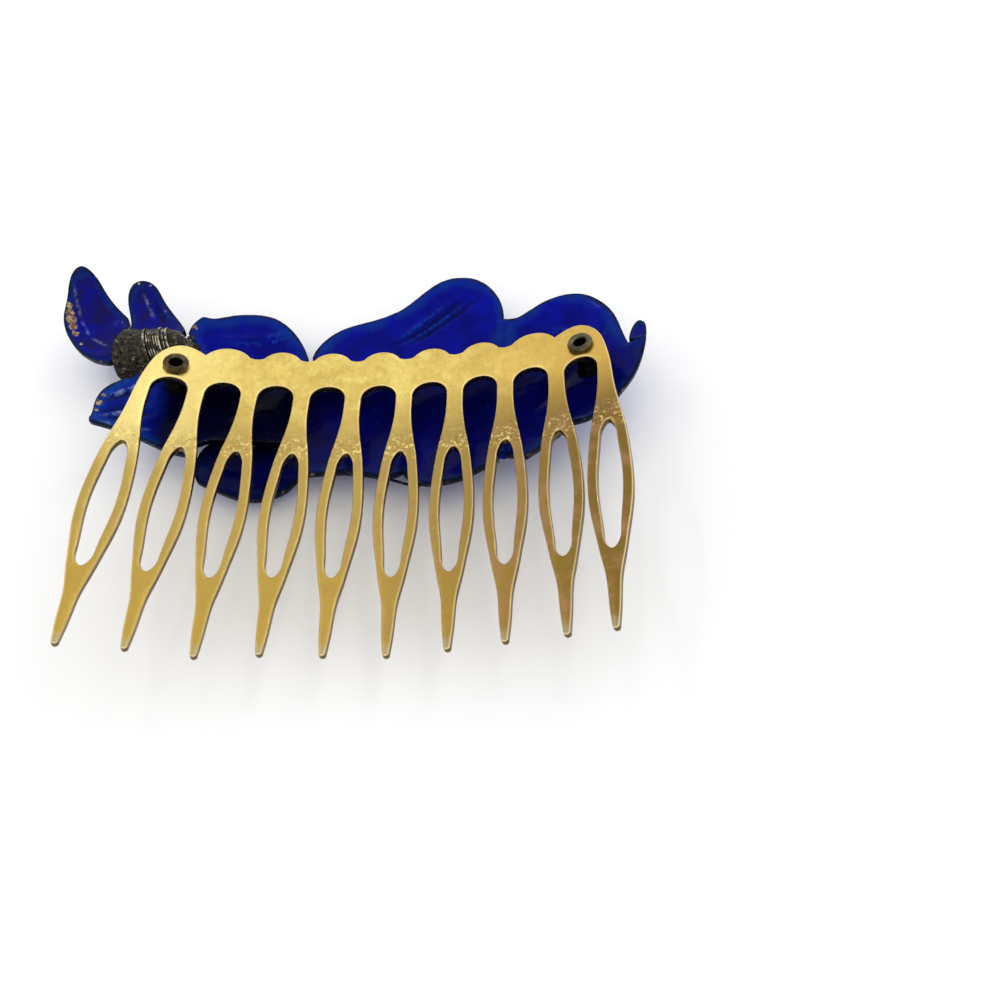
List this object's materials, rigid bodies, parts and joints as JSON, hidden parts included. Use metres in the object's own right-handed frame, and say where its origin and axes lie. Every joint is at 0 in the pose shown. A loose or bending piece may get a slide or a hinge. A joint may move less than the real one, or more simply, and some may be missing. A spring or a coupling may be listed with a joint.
{
  "type": "decorative hair comb",
  "caption": "Gilt brass hair comb with long pierced teeth, riveted to a blue enamelled spray of domed leaves and a blossom.",
  "frame": {"origin": "centre of the bounding box in plan, at the lowest point of the front of the spray", "axes": "+X along the bar of the comb, +Y from the tips of the teeth to the bar, +Z out of the back of the comb"},
  "size_m": [0.0658, 0.0506, 0.009],
  "materials": {
    "gilt_brass": "gilt, finely brushed, lightly tarnished",
    "rivet_brass": "dark olive patina, rolled and smooth",
    "cobalt_enamel": "glossy translucent cobalt enamel",
    "front_enamel": "glossy shaded blue enamel",
    "leaf_metal": "thin oxidised metal with worn gilding",
    "gilt_wire": "gilt wire",
    "oxidised_silver": "dark oxidised silver wire and solder",
    "bead": "smooth cream bead"
  },
  "bodies": {
    "root": {"back_petal_back_enamel": "cobalt_enamel", "back_petal_front_enamel": "front_enamel", "back_petal_plate": "leaf_metal", "back_petal_rim": "leaf_metal", "bead": "bead", "bead_cup": "gilt_wire", "calyx_coil": "oxidised_silver", "calyx_cup": "oxidised_silver", "centre_leaf_back_enamel": "cobalt_enamel", "centre_leaf_front_enamel": "front_enamel", "centre_leaf_plate": "leaf_metal", "centre_leaf_rim": "leaf_metal", "centre_leaf_veins": "gilt_wire", "comb": "gilt_brass", "curled_tip_back_enamel": "cobalt_enamel", "curled_tip_front_enamel": "front_enamel", "curled_tip_plate": "leaf_metal", "curled_tip_rim": "leaf_metal", "edge_wire": "oxidised_silver", "front_petal_back_enamel": "cobalt_enamel", "front_petal_front_enamel": "front_enamel", "front_petal_plate": "leaf_metal", "front_petal_rim": "leaf_metal", "left_leaf_back_enamel": "cobalt_enamel", "left_leaf_front_enamel": "front_enamel", "left_leaf_plate": "leaf_metal", "left_leaf_rim": "leaf_metal", "left_leaf_veins": "gilt_wire", "left_rivet": "rivet_brass", "lower_leaf_back_enamel": "cobalt_enamel", "lower_leaf_front_enamel": "front_enamel", "lower_leaf_plate": "leaf_metal", "lower_leaf_rim": "leaf_metal", "lower_leaf_veins": "gilt_wire", "right_leaf_back_enamel": "cobalt_enamel", "right_leaf_front_enamel": "front_enamel", "right_leaf_plate": "leaf_metal", "right_leaf_rim": "leaf_metal", "right_leaf_veins": "gilt_wire", "right_rivet": "rivet_brass", "side_petal_back_enamel": "cobalt_enamel", "side_petal_front_enamel": "front_enamel", "side_petal_plate": "leaf_metal", "side_petal_rim": "leaf_metal", "small_leaf_back_enamel": "cobalt_enamel", "small_leaf_front_enamel": "front_enamel", "small_leaf_plate": "leaf_metal", "small_leaf_rim": "leaf_metal", "small_leaf_veins": "gilt_wire", "solder_joints": "oxidised_silver", "stem": "oxidised_silver"}
  },
  "joints": []
}
